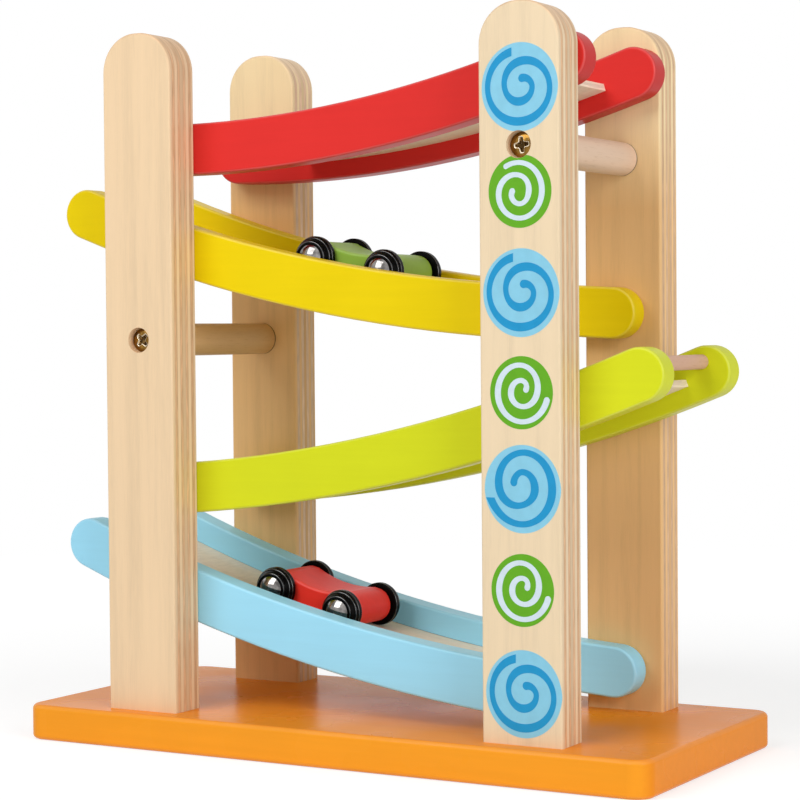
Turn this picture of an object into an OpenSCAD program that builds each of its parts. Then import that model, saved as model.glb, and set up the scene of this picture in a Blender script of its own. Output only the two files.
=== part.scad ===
// Click clack track toy: a tower of four curved tracks and two cars that run down them.
// Millimetres. X runs along the tracks, Y from front to back, Z up.
// The origin is the middle of the underside of the base board.

/* [Base board] */
// Length of the base board, along the tracks
base_l = 292; // [280:1:320]
// Width of the base board, from front to back
base_w = 131; // [124:1:150]
// Thickness of the base board
base_t = 15; // [12:0.5:20]
// Radius of the corners, seen from above
base_corner_r = 8; // [5:0.5:14]
// Rounding of the top and bottom arrises
base_arris_r = 2; // [1:0.25:4]

/* [Posts] */
// Width of a post, along the tracks
post_w = 34.5; // [33:0.5:38]
// Thickness of the plywood of a post
post_t = 17.5; // [15:0.5:20]
// Height of a post above the base board
post_h = 286; // [283:1:300]
// Distance between the middles of the left and the right posts
post_span = 180; // [176:1:186]
// Clear distance between a front post and the one behind it
post_gap = 78; // [76:1:86]
// Radius of the two rounded shoulders at the tip
post_tip_r = 16; // [12:0.5:16]
// Rounding of the long arrises
post_arris_r = 0.9; // [0.5:0.1:2.5]

/* [Rails] */
// Thickness of a rail
rail_t = 11; // [10:0.5:13]
// Height of a rail, square to its curve
rail_h = 21.5; // [19:0.5:23]
// Rounding of the rail arrises
rail_arris_r = 1.2; // [0.5:0.1:2.5]
// Thickness of the track floors
floor_t = 3; // [2.5:0.1:3.5]
// Depth of the groove that holds a floor
groove_d = 4; // [3:0.25:4.5]
// Diameter of the stop dowels
stop_d = 6; // [5:0.5:7]
// Depth that a stop dowel is let into each rail
stop_seat = 5; // [4:0.5:6]
// Height of a stop dowel's middle above the floor
stop_rise = 4.3; // [4:0.1:5]

/* [Tracks] */
// Radius of the three long tracks
track_r = 720; // [680:5:800]
// Radius of the top track
top_track_r = 560; // [520:5:640]
// Distance from the middle of a long rail's high end to its floor
floor_high_gap = 9; // [8:0.5:12]
// Distance from the middle of the top rail's high end to its floor
top_floor_high_gap = 13; // [10:0.5:16]
// Distance from the middle of a rail's low end to its floor, where the cars drop
floor_low_gap = 39.5; // [38:0.5:44]

/* [Red track] */
// Height of the track at the left posts
red_left_z = 253; // [251:0.5:256]
// Height of the track at the right posts
red_right_z = 277.5; // [275:0.5:280]
// Reach of the rails past the middle of the left posts
red_left_reach = 6; // [2:0.5:12]
// Reach of the rails past the middle of the right posts
red_right_reach = 9.3; // [6:0.1:12]

/* [Yellow track] */
// Height of the track at the left posts
yellow_left_z = 213; // [211:0.5:216]
// Height of the track at the right posts
yellow_right_z = 181.8; // [180:0.2:184]
// Reach of the rails past the middle of the left posts
yellow_left_reach = 40.8; // [38:0.2:44]
// Reach of the rails past the middle of the right posts, below zero if they stop short of it
yellow_right_reach = -0.6; // [-3:0.2:4]

/* [Green track] */
// Height of the track at the left posts
green_left_z = 108; // [106:0.5:110]
// Height of the track at the right posts
green_right_z = 142.5; // [140:0.5:145]
// Reach of the rails past the middle of the left posts, below zero if they stop short of it
green_left_reach = -1.2; // [-3:0.2:4]
// Reach of the rails past the middle of the right posts
green_right_reach = 41.4; // [38:0.2:44]

/* [Blue track] */
// Height of the track at the left posts
blue_left_z = 68; // [66:0.5:70]
// Height of the track at the right posts
blue_right_z = 32; // [31:0.2:34]
// Reach of the rails past the middle of the left posts
blue_left_reach = 40.8; // [38:0.2:44]
// Reach of the rails past the middle of the right posts, below zero if they stop short of it
blue_right_reach = -0.6; // [-3:0.2:4]

/* [Dowels, pegs and screws] */
// Diameter of the two spacer dowels
spacer_d = 14; // [12:0.5:16]
// Height of the left spacer dowel
spacer_left_z = 172; // [160:1:180]
// Height of the right spacer dowel
spacer_right_z = 246; // [242:1:248]
// Diameter of the pegs between rails and posts
peg_d = 6; // [5:0.5:7]
// Depth of a peg in the rail
peg_in_rail = 6; // [5:0.25:6.25]
// Depth of a peg in the post
peg_in_post = 9; // [7:0.5:10]
// Diameter of a screw over its thread
screw_d = 4; // [3.5:0.1:4.5]
// Diameter of a screw head
screw_head_d = 8; // [7:0.5:8.5]
// Length of the screws in the spacer dowels, without the head
spacer_screw_l = 35; // [30:1:45]
// Length of the screws in the feet of the posts, without the head
post_screw_l = 38; // [32:1:45]
// Diameter of the sunk hole over a spacer screw
screw_sink_d = 10.6; // [9.5:0.1:12]
// Depth of the sunk hole over a spacer screw
screw_sink_h = 3.5; // [3:0.5:6]

/* [Cars] */
// Diameter of a wheel over its tread
wheel_d = 18.4; // [17:0.1:20]
// Width of a wheel
wheel_w = 6.4; // [5.5:0.1:7]
// Distance between the two axles
wheelbase = 34; // [31:0.5:37]
// Distance between the middles of the left and the right wheels
gauge = 35; // [32:0.5:37]
// Diameter of the axles
axle_d = 2.5; // [2:0.1:3]
// Diameter of a hub cap
cap_d = 10.8; // [9.5:0.1:11.5]
// Height of a hub cap's dome above its rim
cap_dome = 1.9; // [1.2:0.1:2.4]
// Height of the wooden body over its two humps
body_h = 14.4; // [13:0.1:16]
// Depth of the hollow in the top and the bottom of the body
body_waist = 2.3; // [1:0.1:3]
// Gap between the rim of a wheel and the wooden body
wheel_gap = 0.6; // [0.5:0.1:1]
// Reach of the body past each axle
body_reach = 7; // [6.5:0.25:9]
// Rounding of the arrises of the body
body_arris_r = 1.3; // [0.5:0.1:2]
// Place of the green car on the yellow track, from the middle
green_car_x = -12.1; // [-60:0.1:10]
// Place of the red car on the blue track, from the middle
red_car_x = -34.2; // [-60:0.1:10]

/* [Fits] */
// Play round a peg, a stop dowel or a screw's thread, on the radius
dowel_play = 0.05; // [0.02:0.01:0.1]
// Play round an axle in the wooden body, on the radius
axle_play = 0.06; // [0.03:0.01:0.1]
// Play over a floor in its groove
groove_play = 0.2; // [0.1:0.05:0.3]
// Play round the shank of a screw where it passes through, on the radius
shank_play = 0.25; // [0.1:0.05:0.4]
// Play round a screw head and round a hub cap, on the radius
head_play = 0.15; // [0.1:0.05:0.25]
// Gap left between a tread and the floor it rolls on
roll_gap = 0.08; // [0.04:0.01:0.2]
// Gap between the boss of a wheel and the wooden body
side_gap = 0.25; // [0.15:0.05:0.4]

/* [Hidden] */
$fa = 1;
$fs = 0.6;

LEFT = -1;
RIGHT = 1;
FRONT = -1;
BACK = 1;

// Each track: heights at the left and right posts, reaches, radius, floor gap at the high end
RED = [red_left_z, red_right_z, red_left_reach, red_right_reach, top_track_r, top_floor_high_gap];
YELLOW = [yellow_left_z, yellow_right_z, yellow_left_reach, yellow_right_reach, track_r, floor_high_gap];
GREEN = [green_left_z, green_right_z, green_left_reach, green_right_reach, track_r, floor_high_gap];
BLUE = [blue_left_z, blue_right_z, blue_left_reach, blue_right_reach, track_r, floor_high_gap];
TRACKS = [RED, YELLOW, GREEN, BLUE];

channel_w = post_gap - 2 * rail_t;
over = rail_t / 10;                     // how far a cutter stands out of the wood
point_share = 1.2;                      // length of a screw's point over its diameter
head_cone_share = 0.35;                 // height of a screw head's cone over its diameter
head_dome_share = 0.07;                 // height of a screw head's dome over its diameter
recess_shares = [0.56, 0.14, 0.26];     // cross recess: length, width, depth over the head's diameter
post_screw_share = 0.27;                // place of a foot screw over the width of a post
foot_sink_share = 0.1;                  // how deep a foot screw's head lies over its diameter
peg_chamfer_share = 0.12;               // chamfer of a dowel's ends over its diameter
boss_share = 0.3;                       // radius of a wheel's inner boss over the wheel's radius
cap_seat_share = 0.2;                   // depth of the hub cap's seat over the width of a wheel
// Ribbed tread from the inner face outward: share of the radius, share of the width
tread_shares = [[0.94, 0], [1, 0.07], [1, 0.4], [0.955, 0.44], [0.955, 0.5], [0.95, 0.54],
    [0.925, 0.64], [0.86, 0.67], [0.86, 0.73], [0.84, 0.78], [0.79, 0.92], [0.74, 1]];

function arc_degrees(length, radius) = length / radius * 180 / PI;
function chord(track) = norm([post_span, track[1] - track[0]]);
function centre_lift(track) = sqrt(track[4] * track[4] - chord(track) * chord(track) / 4);
function centre_x(track) = -(track[1] - track[0]) / chord(track) * centre_lift(track);
function centre_z(track) = (track[0] + track[1]) / 2 + post_span / chord(track) * centre_lift(track);
// Angle on a track at a place x, counted from straight below the centre
function angle_at(track, x) = asin((x - centre_x(track)) / track[4]);
function left_end(track) = angle_at(track, -post_span / 2 - track[2]);
function right_end(track) = angle_at(track, post_span / 2 + track[3]);
// 1 where the right end is the high one, -1 where the left end is
function uphill(track) = track[1] > track[0] ? 1 : -1;
function high_end(track) = uphill(track) > 0 ? right_end(track) : left_end(track);
function low_end(track) = uphill(track) > 0 ? left_end(track) : right_end(track);
function floor_high(track) = high_end(track) - uphill(track) * arc_degrees(track[5], track[4]);
function floor_low(track) = low_end(track) + uphill(track) * arc_degrees(floor_low_gap, track[4]);

foot_sink = foot_sink_share * screw_head_d;
wheel_r = wheel_d / 2;
axle_r = axle_d / 2;
boss_l = wheel_gap - side_gap;
body_width = gauge - wheel_w - 2 * wheel_gap;
cap_seat = cap_seat_share * wheel_w;
cap_r = cap_d / 2;
// Height of the axles above the floor under the middle of a car
axle_z = track_r - sqrt(pow(track_r - wheel_r - roll_gap, 2) - pow(wheelbase / 2, 2));
waist_half = wheelbase / 2 - body_waist;
waist_r = (waist_half * waist_half + body_waist * body_waist) / (2 * body_waist);

// A rectangle with round corners, centred
module round_rect(width, height, radius) {
    square([width - 2 * radius, height], center = true);
    square([width, height - 2 * radius], center = true);
    for (x = [-1, 1], y = [-1, 1])
        translate([x * (width / 2 - radius), y * (height / 2 - radius)]) circle(radius);
}

// The right half of that rectangle, to turn about its middle
module half_round_rect(width, height, radius) {
    intersection() {
        round_rect(width, height, radius);
        translate([0, -height / 2]) square([width / 2, height]);
    }
}

// Part of a round disk with rounded rims, axis up
module puck(radius, thick, arris, start, angle) {
    rotate_extrude(angle = angle, start = start) half_round_rect(2 * radius, thick, arris);
}

// A board with rounded plan corners and rounded arrises
module board(length, width, thick, corner, arris) {
    rotate([90, 0, 90]) linear_extrude(length - 2 * corner, center = true)
        round_rect(width, thick, arris);
    rotate([90, 0, 0]) linear_extrude(width - 2 * corner, center = true)
        round_rect(length, thick, arris);
    for (quarter = [[1, 1, 0], [-1, 1, 90], [-1, -1, 180], [1, -1, 270]])
        translate([quarter[0] * (length / 2 - corner), quarter[1] * (width / 2 - corner), 0])
            puck(corner, thick, arris, quarter[2], 90);
}

// The frame of a track: its centre at the origin, the track's plane as XY, the front toward +Z
module track_frame(track) {
    translate([centre_x(track), 0, centre_z(track)]) rotate([90, 0, 0]) children();
}

// Half a bar bent about the origin, from its middle on the X axis to its round end
module half_arc_bar(radius, half_angle, height, thick, arris) {
    spare = arc_degrees(height, radius);
    intersection() {
        rotate([0, 0, half_angle]) {
            rotate_extrude(angle = half_angle + spare, start = -half_angle - spare)
                translate([radius, 0]) round_rect(height, thick, arris);
            translate([radius, 0, 0]) puck(height / 2, thick, arris, 0, 180);
        }
        translate([0, 0, -thick]) cube([2 * radius, 2 * radius, 2 * thick]);
    }
}

// A bar bent about the origin, with round ends, as two halves that mirror each other
module arc_bar(radius, from, to, height, thick, arris) {
    rotate([0, 0, (from + to) / 2 - 90]) for (side = [0, 1])
        mirror([0, side, 0]) half_arc_bar(radius, (to - from) / 2, height, thick, arris);
}

// A slot cutter bent about the origin
module arc_slot(radius, from, to, height, thick) {
    rotate_extrude(angle = to - from, start = from - 90)
        translate([radius, 0]) square([height, thick], center = true);
}

// A dowel with chamfered ends, axis up, centred
module dowel(diameter, length) {
    chamfer = peg_chamfer_share * diameter;
    rotate_extrude() polygon([
        [0, -length / 2], [diameter / 2 - chamfer, -length / 2], [diameter / 2, -length / 2 + chamfer],
        [diameter / 2, length / 2 - chamfer], [diameter / 2 - chamfer, length / 2], [0, length / 2]]);
}

// A wood screw, its thread left plain: the rim of its head at the origin, its point toward -Z
module screw(length) {
    cone = head_cone_share * screw_head_d;
    dome = head_dome_share * screw_head_d;
    dome_r = (screw_head_d * screw_head_d / 4 + dome * dome) / (2 * dome);
    recess_h = recess_shares[2] * screw_head_d;
    difference() {
        union() {
            rotate_extrude() polygon([
                [0, 0], [screw_head_d / 2, 0], [screw_d / 2, -cone],
                [screw_d / 2, point_share * screw_d - length], [0, -length]]);
            rotate_extrude() intersection() {
                translate([0, dome - dome_r]) circle(dome_r);
                square([screw_head_d / 2, dome]);
            }
        }
        for (turn = [0, 90])
            rotate([0, 0, turn]) translate([0, 0, dome - recess_h / 2])
                cube(recess_shares * screw_head_d, center = true);
        translate([0, 0, dome - recess_h]) cylinder(h = recess_h, d1 = 0, d2 = recess_h);
    }
}

// The hole for such a screw, as deep as its shank, with a cone for the head
module screw_hole(length) {
    cone = head_cone_share * screw_head_d;
    translate([0, 0, -length]) cylinder(h = length + over, r = screw_d / 2 + dowel_play);
    translate([0, 0, -cone]) cylinder(h = cone,
        r1 = screw_d / 2 + head_play, r2 = screw_head_d / 2 + head_play);
}

module base_board() {
    color("darkorange") difference() {
        translate([0, 0, base_t / 2]) board(base_l, base_w, base_t, base_corner_r, base_arris_r);
        at_post_screws() {
            translate([0, 0, -over]) cylinder(h = base_t + 2 * over, r = screw_d / 2 + shank_play);
            translate([0, 0, -over]) cylinder(h = foot_sink + over, r = screw_head_d / 2 + head_play);
            translate([0, 0, foot_sink]) rotate([180, 0, 0]) screw_hole(post_screw_l);
        }
    }
}

// Places children at each screw in a foot, on the underside of the base board
module at_post_screws() {
    for (x = [LEFT, RIGHT], y = [FRONT, BACK], side = [-1, 1])
        translate([x * post_span / 2 + side * post_screw_share * post_w, y * (post_gap + post_t) / 2, 0])
            children();
}

module post_blank() {
    straight = post_h - post_tip_r;
    flat = post_w - 2 * post_tip_r;
    linear_extrude(straight) round_rect(post_w, post_t, post_arris_r);
    translate([0, 0, straight]) rotate([90, 0, 0]) {
        translate([flat / 2, 0, 0]) puck(post_tip_r, post_t, post_arris_r, 0, 90);
        translate([-flat / 2, 0, 0]) puck(post_tip_r, post_t, post_arris_r, 90, 90);
    }
    translate([0, 0, straight]) rotate([90, -90, 90]) linear_extrude(flat, center = true)
        half_round_rect(2 * post_tip_r, post_t, post_arris_r);
}

module post(x, y) {
    inner = post_gap / 2;
    difference() {
        translate([x * post_span / 2, y * (inner + post_t / 2), base_t]) post_blank();
        for (track = TRACKS)
            translate([x * post_span / 2, y * (inner - over), x < 0 ? track[0] : track[1]])
                rotate([-90 * y, 0, 0]) cylinder(h = peg_in_post + over, r = peg_d / 2 + dowel_play);
        translate([x * post_span / 2, y * (inner + post_t), spacer_z(x)]) rotate([-90 * y, 0, 0]) {
            translate([0, 0, -screw_sink_h]) cylinder(h = screw_sink_h + over, d = screw_sink_d);
            translate([0, 0, -post_t - over])
                cylinder(h = post_t + 2 * over, r = screw_d / 2 + shank_play);
            translate([0, 0, -screw_sink_h]) screw_hole(spacer_screw_l);
        }
        at_post_screws() translate([0, 0, foot_sink]) rotate([180, 0, 0]) screw_hole(post_screw_l);
    }
}

function spacer_z(x) = x < 0 ? spacer_left_z : spacer_right_z;

module post_front_left() { color("burlywood") post(LEFT, FRONT); }
module post_front_right() { color("burlywood") post(RIGHT, FRONT); }
module post_back_left() { color("burlywood") post(LEFT, BACK); }
module post_back_right() { color("burlywood") post(RIGHT, BACK); }

// One rail with its floor groove, its peg holes and the hole of its stop dowel
module rail(track, y, stopped) {
    radius = track[4];
    groove_h = floor_t + groove_play;
    low = min(floor_low(track), floor_high(track));
    high = max(floor_low(track), floor_high(track));
    difference() {
        track_frame(track) translate([0, 0, -y * (channel_w + rail_t) / 2])
            arc_bar(radius, left_end(track), right_end(track), rail_h, rail_t, rail_arris_r);
        track_frame(track) translate([0, 0, -y * (channel_w / 2 + (groove_d - over) / 2)])
            arc_slot(radius + floor_t - groove_h / 2, low, high, groove_h, groove_d + over);
        for (x = [LEFT, RIGHT])
            translate([x * post_span / 2, y * (post_gap / 2 + over), x < 0 ? track[0] : track[1]])
                rotate([90 * y, 0, 0]) cylinder(h = peg_in_rail + over, r = peg_d / 2 + dowel_play);
        if (stopped)
            at_stop(track) translate([0, 0, -y * (channel_w / 2 + stop_seat / 2 - over / 2)])
                cylinder(h = stop_seat + over, r = stop_d / 2 + dowel_play, center = true);
    }
}

// Places children at a stop dowel, its axis as Z
module at_stop(track) {
    track_frame(track)
        rotate([0, 0, high_end(track) - 90])
            translate([track[4] - stop_rise, 0, 0]) children();
}

module track_floor(track) {
    low = min(floor_low(track), floor_high(track));
    high = max(floor_low(track), floor_high(track));
    width = channel_w + 2 * (groove_d - groove_play);
    track_frame(track) rotate_extrude(angle = high - low, start = low - 90)
        translate([track[4], -width / 2]) square([floor_t, width]);
}

module stop(track) {
    at_stop(track) dowel(stop_d, channel_w + 2 * stop_seat);
}

module red_rail_front() { color("firebrick") rail(RED, FRONT, false); }
module red_rail_back() { color("firebrick") rail(RED, BACK, false); }
module red_floor() { color("wheat") track_floor(RED); }
module yellow_rail_front() { color("gold") rail(YELLOW, FRONT, true); }
module yellow_rail_back() { color("gold") rail(YELLOW, BACK, true); }
module yellow_floor() { color("wheat") track_floor(YELLOW); }
module yellow_stop() { color("tan") stop(YELLOW); }
module green_rail_front() { color("yellowgreen") rail(GREEN, FRONT, true); }
module green_rail_back() { color("yellowgreen") rail(GREEN, BACK, true); }
module green_floor() { color("wheat") track_floor(GREEN); }
module green_stop() { color("tan") stop(GREEN); }
module blue_rail_front() { color("skyblue") rail(BLUE, FRONT, true); }
module blue_rail_back() { color("skyblue") rail(BLUE, BACK, true); }
module blue_floor() { color("wheat") track_floor(BLUE); }
module blue_stop() { color("tan") stop(BLUE); }

// A spacer dowel with a pilot hole in each end
module spacer(x) {
    translate([x * post_span / 2, 0, spacer_z(x)]) rotate([90, 0, 0]) difference() {
        cylinder(h = post_gap, d = spacer_d, center = true);
        for (end = [-1, 1])
            translate([0, 0, end * post_gap / 2]) cylinder(r = screw_d / 2 + dowel_play,
                h = 2 * (spacer_screw_l + screw_sink_h - post_t), center = true);
    }
}

module spacer_left() { color("tan") spacer(LEFT); }
module spacer_right() { color("tan") spacer(RIGHT); }

module spacer_screws() {
    color("goldenrod") for (x = [LEFT, RIGHT], y = [FRONT, BACK])
        translate([x * post_span / 2, y * (post_gap / 2 + post_t - screw_sink_h), spacer_z(x)])
            rotate([-90 * y, 0, 0]) screw(spacer_screw_l);
}

module post_screws() {
    color("silver") at_post_screws()
        translate([0, 0, foot_sink]) rotate([180, 0, 0]) screw(post_screw_l);
}

module rail_pegs() {
    color("tan") for (track = TRACKS, x = [LEFT, RIGHT], y = [FRONT, BACK])
        translate([x * post_span / 2, y * (post_gap / 2 + (peg_in_post - peg_in_rail) / 2),
            x < 0 ? track[0] : track[1]])
            rotate([90, 0, 0]) dowel(peg_d, peg_in_post + peg_in_rail);
}

// The frame of a car: the floor under its middle at the origin, X along the track
module car_frame(track, x) {
    translate([centre_x(track), 0, centre_z(track)]) rotate([0, -angle_at(track, x), 0])
        translate([0, 0, -track[4]]) children();
}

// Cuts one hollow of the waist and leaves its arrises rounded
module waist_cutter() {
    half = body_width / 2;
    rotate([90, 0, 0]) rotate_extrude() {
        translate([0, -half - over]) square([waist_r, 2 * (half + over)]);
        for (side = [-1, 1]) difference() {
            translate([waist_r, side > 0 ? half - body_arris_r : -half - over])
                square([body_arris_r, body_arris_r + over]);
            translate([waist_r + body_arris_r, side * (half - body_arris_r)]) circle(body_arris_r);
        }
    }
}

module car_body() {
    end_r = body_h / 2;
    half_l = wheelbase / 2 + body_reach - end_r;
    translate([0, 0, axle_z]) difference() {
        union() {
            rotate([90, 0, 90]) linear_extrude(2 * half_l, center = true)
                round_rect(body_width, body_h, body_arris_r);
            rotate([90, 0, 0]) {
                translate([half_l, 0, 0]) puck(end_r, body_width, body_arris_r, -90, 180);
                translate([-half_l, 0, 0]) puck(end_r, body_width, body_arris_r, 90, 180);
            }
        }
        for (z = [-1, 1])
            translate([0, 0, z * (end_r - body_waist + waist_r)]) waist_cutter();
        for (x = [LEFT, RIGHT])
            translate([x * wheelbase / 2, 0, 0]) rotate([90, 0, 0])
                cylinder(h = body_width + 2 * over, r = axle_r + axle_play, center = true);
    }
}

module car_axle(x) {
    translate([x * wheelbase / 2, 0, axle_z]) rotate([90, 0, 0])
        cylinder(h = gauge + wheel_w - cap_seat, r = axle_r, center = true);
}

// Places children at the inner face of a wheel, outward as Z
module at_wheel(x, y) {
    translate([x * wheelbase / 2, y * (gauge - wheel_w) / 2, axle_z]) rotate([-90 * y, 0, 0]) children();
}

module car_wheel(x, y) {
    boss_r = boss_share * wheel_r;
    at_wheel(x, y) rotate_extrude() polygon(concat(
        [[axle_r, -boss_l], [boss_r, -boss_l], [boss_r, 0]],
        [for (step = tread_shares) [step[0] * wheel_r, step[1] * wheel_w]],
        [[cap_r + head_play, wheel_w], [cap_r + head_play, wheel_w - cap_seat],
            [axle_r, wheel_w - cap_seat]]));
}

module car_cap(x, y) {
    rim = cap_seat;
    dome_r = (cap_r * cap_r + cap_dome * cap_dome) / (2 * cap_dome);
    at_wheel(x, y) translate([0, 0, wheel_w - cap_seat]) difference() {
        union() {
            cylinder(h = rim, r = cap_r);
            translate([0, 0, rim]) rotate_extrude() intersection() {
                translate([0, cap_dome - dome_r]) circle(dome_r);
                square([cap_r, cap_dome]);
            }
        }
        translate([0, 0, -over]) cylinder(h = over + cap_seat / 2, r = axle_r);
    }
}

module green_car() { car_frame(YELLOW, green_car_x) children(); }
module red_car() { car_frame(BLUE, red_car_x) children(); }

module green_car_body() { color("limegreen") green_car() car_body(); }
module green_car_axle_left() { color("silver") green_car() car_axle(LEFT); }
module green_car_axle_right() { color("silver") green_car() car_axle(RIGHT); }
module green_car_wheel_left_front() { color("black") green_car() car_wheel(LEFT, FRONT); }
module green_car_wheel_left_back() { color("black") green_car() car_wheel(LEFT, BACK); }
module green_car_wheel_right_front() { color("black") green_car() car_wheel(RIGHT, FRONT); }
module green_car_wheel_right_back() { color("black") green_car() car_wheel(RIGHT, BACK); }
module green_car_cap_left_front() { color("silver") green_car() car_cap(LEFT, FRONT); }
module green_car_cap_left_back() { color("silver") green_car() car_cap(LEFT, BACK); }
module green_car_cap_right_front() { color("silver") green_car() car_cap(RIGHT, FRONT); }
module green_car_cap_right_back() { color("silver") green_car() car_cap(RIGHT, BACK); }

module red_car_body() { color("crimson") red_car() car_body(); }
module red_car_axle_left() { color("silver") red_car() car_axle(LEFT); }
module red_car_axle_right() { color("silver") red_car() car_axle(RIGHT); }
module red_car_wheel_left_front() { color("black") red_car() car_wheel(LEFT, FRONT); }
module red_car_wheel_left_back() { color("black") red_car() car_wheel(LEFT, BACK); }
module red_car_wheel_right_front() { color("black") red_car() car_wheel(RIGHT, FRONT); }
module red_car_wheel_right_back() { color("black") red_car() car_wheel(RIGHT, BACK); }
module red_car_cap_left_front() { color("silver") red_car() car_cap(LEFT, FRONT); }
module red_car_cap_left_back() { color("silver") red_car() car_cap(LEFT, BACK); }
module red_car_cap_right_front() { color("silver") red_car() car_cap(RIGHT, FRONT); }
module red_car_cap_right_back() { color("silver") red_car() car_cap(RIGHT, BACK); }

base_board();
post_front_left();
post_front_right();
post_back_left();
post_back_right();
red_rail_front();
red_rail_back();
red_floor();
yellow_rail_front();
yellow_rail_back();
yellow_floor();
yellow_stop();
green_rail_front();
green_rail_back();
green_floor();
green_stop();
blue_rail_front();
blue_rail_back();
blue_floor();
blue_stop();
spacer_left();
spacer_right();
spacer_screws();
post_screws();
rail_pegs();
green_car_body();
green_car_axle_left();
green_car_axle_right();
green_car_wheel_left_front();
green_car_wheel_left_back();
green_car_wheel_right_front();
green_car_wheel_right_back();
green_car_cap_left_front();
green_car_cap_left_back();
green_car_cap_right_front();
green_car_cap_right_back();
red_car_body();
red_car_axle_left();
red_car_axle_right();
red_car_wheel_left_front();
red_car_wheel_left_back();
red_car_wheel_right_front();
red_car_wheel_right_back();
red_car_cap_left_front();
red_car_cap_left_back();
red_car_cap_right_front();
red_car_cap_right_back();
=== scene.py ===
"""Looks of a click clack track toy: plywood posts, painted tracks, and two small wooden cars.

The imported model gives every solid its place. Here each one gets its finish, the wheels get
their moulded ribs, the screws their threads, and one post its printed disks with spirals.
Lengths are in metres, with X along the tracks, Y from front to back and Z up.
"""

import math
from functools import partial

import bpy
from bpy.props import FloatProperty, FloatVectorProperty, IntProperty, PointerProperty
from mathutils import Matrix, Vector


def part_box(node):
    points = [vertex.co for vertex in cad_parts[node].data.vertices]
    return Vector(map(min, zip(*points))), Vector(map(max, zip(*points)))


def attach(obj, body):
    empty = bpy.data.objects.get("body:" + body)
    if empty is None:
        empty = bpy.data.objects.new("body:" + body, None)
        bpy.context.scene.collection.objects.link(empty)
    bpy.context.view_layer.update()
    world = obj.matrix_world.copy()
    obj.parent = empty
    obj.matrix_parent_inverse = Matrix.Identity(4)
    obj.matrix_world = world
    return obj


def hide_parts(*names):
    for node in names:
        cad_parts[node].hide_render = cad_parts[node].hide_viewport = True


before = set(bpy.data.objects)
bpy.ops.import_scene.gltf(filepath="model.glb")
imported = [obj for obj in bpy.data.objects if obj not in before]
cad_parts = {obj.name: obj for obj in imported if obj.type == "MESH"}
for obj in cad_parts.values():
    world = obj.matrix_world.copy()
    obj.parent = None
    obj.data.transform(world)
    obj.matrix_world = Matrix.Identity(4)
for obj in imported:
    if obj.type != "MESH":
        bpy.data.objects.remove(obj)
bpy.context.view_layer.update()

bl_info = {
    "name": "Click clack track toy",
    "version": (1, 0, 0),
    "blender": (4, 5, 0),
    "location": "View3D > Sidebar > Track toy",
    "description": "Dresses the packed track toy: plywood, paint, dowels, wheels, screws and stage",
    "category": "Object",
}

# Lengths are multiples of this, but a pattern's scale is 1000 over its size in millimetres
MM = 0.001
WHITE = (1, 1, 1, 1)
BLACK = (0, 0, 0, 1)
# A Mix node has several sockets called A and several called B: the places of its colour sockets
TINT_A = 6
TINT_B = 7

CARS = ("green_car", "red_car")
ENDS = ("left", "right")
# Each floor is bent about a line along Y: its X and Z, and the radius of the floor's upper side
TRACK_CENTRES = {
    "red": (-0.07453, 0.81279, 0.560),
    "yellow": (0.12197, 0.90109, 0.720),
    "green": (-0.13443, 0.82663, 0.720),
    "blue": (0.14005, 0.75026, 0.720),
}


def linear(code):
    """Turns an sRGB hex colour into linear red, green, blue and alpha."""
    channels = [int(code[i:i + 2], 16) / 255 for i in (0, 2, 4)]
    return tuple(c / 12.92 if c <= 0.04045 else ((c + 0.055) / 1.055) ** 2.4 for c in channels) + (1.0,)


def colour(name, description, code):
    """A colour property with its default from a hex code."""
    return FloatVectorProperty(
        name=name, description=description, subtype="COLOR", size=4, min=0, max=1, default=linear(code))


def length(name, description, value):
    """A length property, its default in metres."""
    return FloatProperty(
        name=name, description=description, subtype="DISTANCE", unit="LENGTH", min=0, default=value)


class ToyColours(bpy.types.PropertyGroup):
    """Paints, woods and inks of the toy."""

    base_paint: colour("Base paint", "Orange paint of the base board", "F69E28")
    red_paint: colour("Red paint", "Paint of the red track", "DE302C")
    yellow_paint: colour("Yellow paint", "Paint of the yellow track", "ECD000")
    green_paint: colour("Green paint", "Paint of the green track", "D4DB1E")
    blue_paint: colour("Blue paint", "Paint of the blue track", "A0E0FA")
    red_car_paint: colour("Red car paint", "Paint of the red car's body", "F4382C")
    green_car_paint: colour("Green car paint", "Paint of the green car's body", "98C24A")
    birch_left: colour("Birch, front left", "Outer veneer of the front left post", "EBCFA9")
    birch_right: colour("Birch, front right", "Outer veneer of the front right post", "E9D4B2")
    birch_end: colour("Birch, end grain", "Birch veneer cut across its grain", "E1B991")
    birch_pale: colour("Birch, pale end", "Veneer of the back left post cut across its grain", "EDCDAC")
    # Painted shade: the back posts' veneer low on their inner faces; the next colour is their unshaded tips
    birch_back_shaded: colour("Birch, back posts", "Yellower veneer of the two back posts", "EFC388")
    birch_back_unshaded: colour("Birch, back tips", "Paler veneer at the tips of the back posts", "F6DFB0")
    floor_long: colour("Floor veneer", "Veneer of the track floors", "F2E4D0")
    floor_end: colour("Floor edge", "Edge of the track floors", "F2E2CC")
    beech: colour("Beech", "Turned beech of the right spacer and the pegs", "E6C8AE")
    # Painted shade: the left spacer sits in shade between the posts, so its beech is browner
    shaded_beech: colour("Brown beech", "Turned beech of the left spacer", "D8AF7A")
    red_beech: colour("Red beech", "Turned beech of the stops", "D8AE94")
    disk_blue: colour("Disk blue", "Ink of the blue disks", "88C9E2")
    spiral_blue: colour("Spiral blue", "Ink of the spirals on the blue disks", "1E93C8")
    disk_green: colour("Disk green", "Ink of the green disks", "62A81F")
    spiral_white: colour("Spiral white", "Ink of the spirals on the green disks", "D2E2EC")


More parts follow.
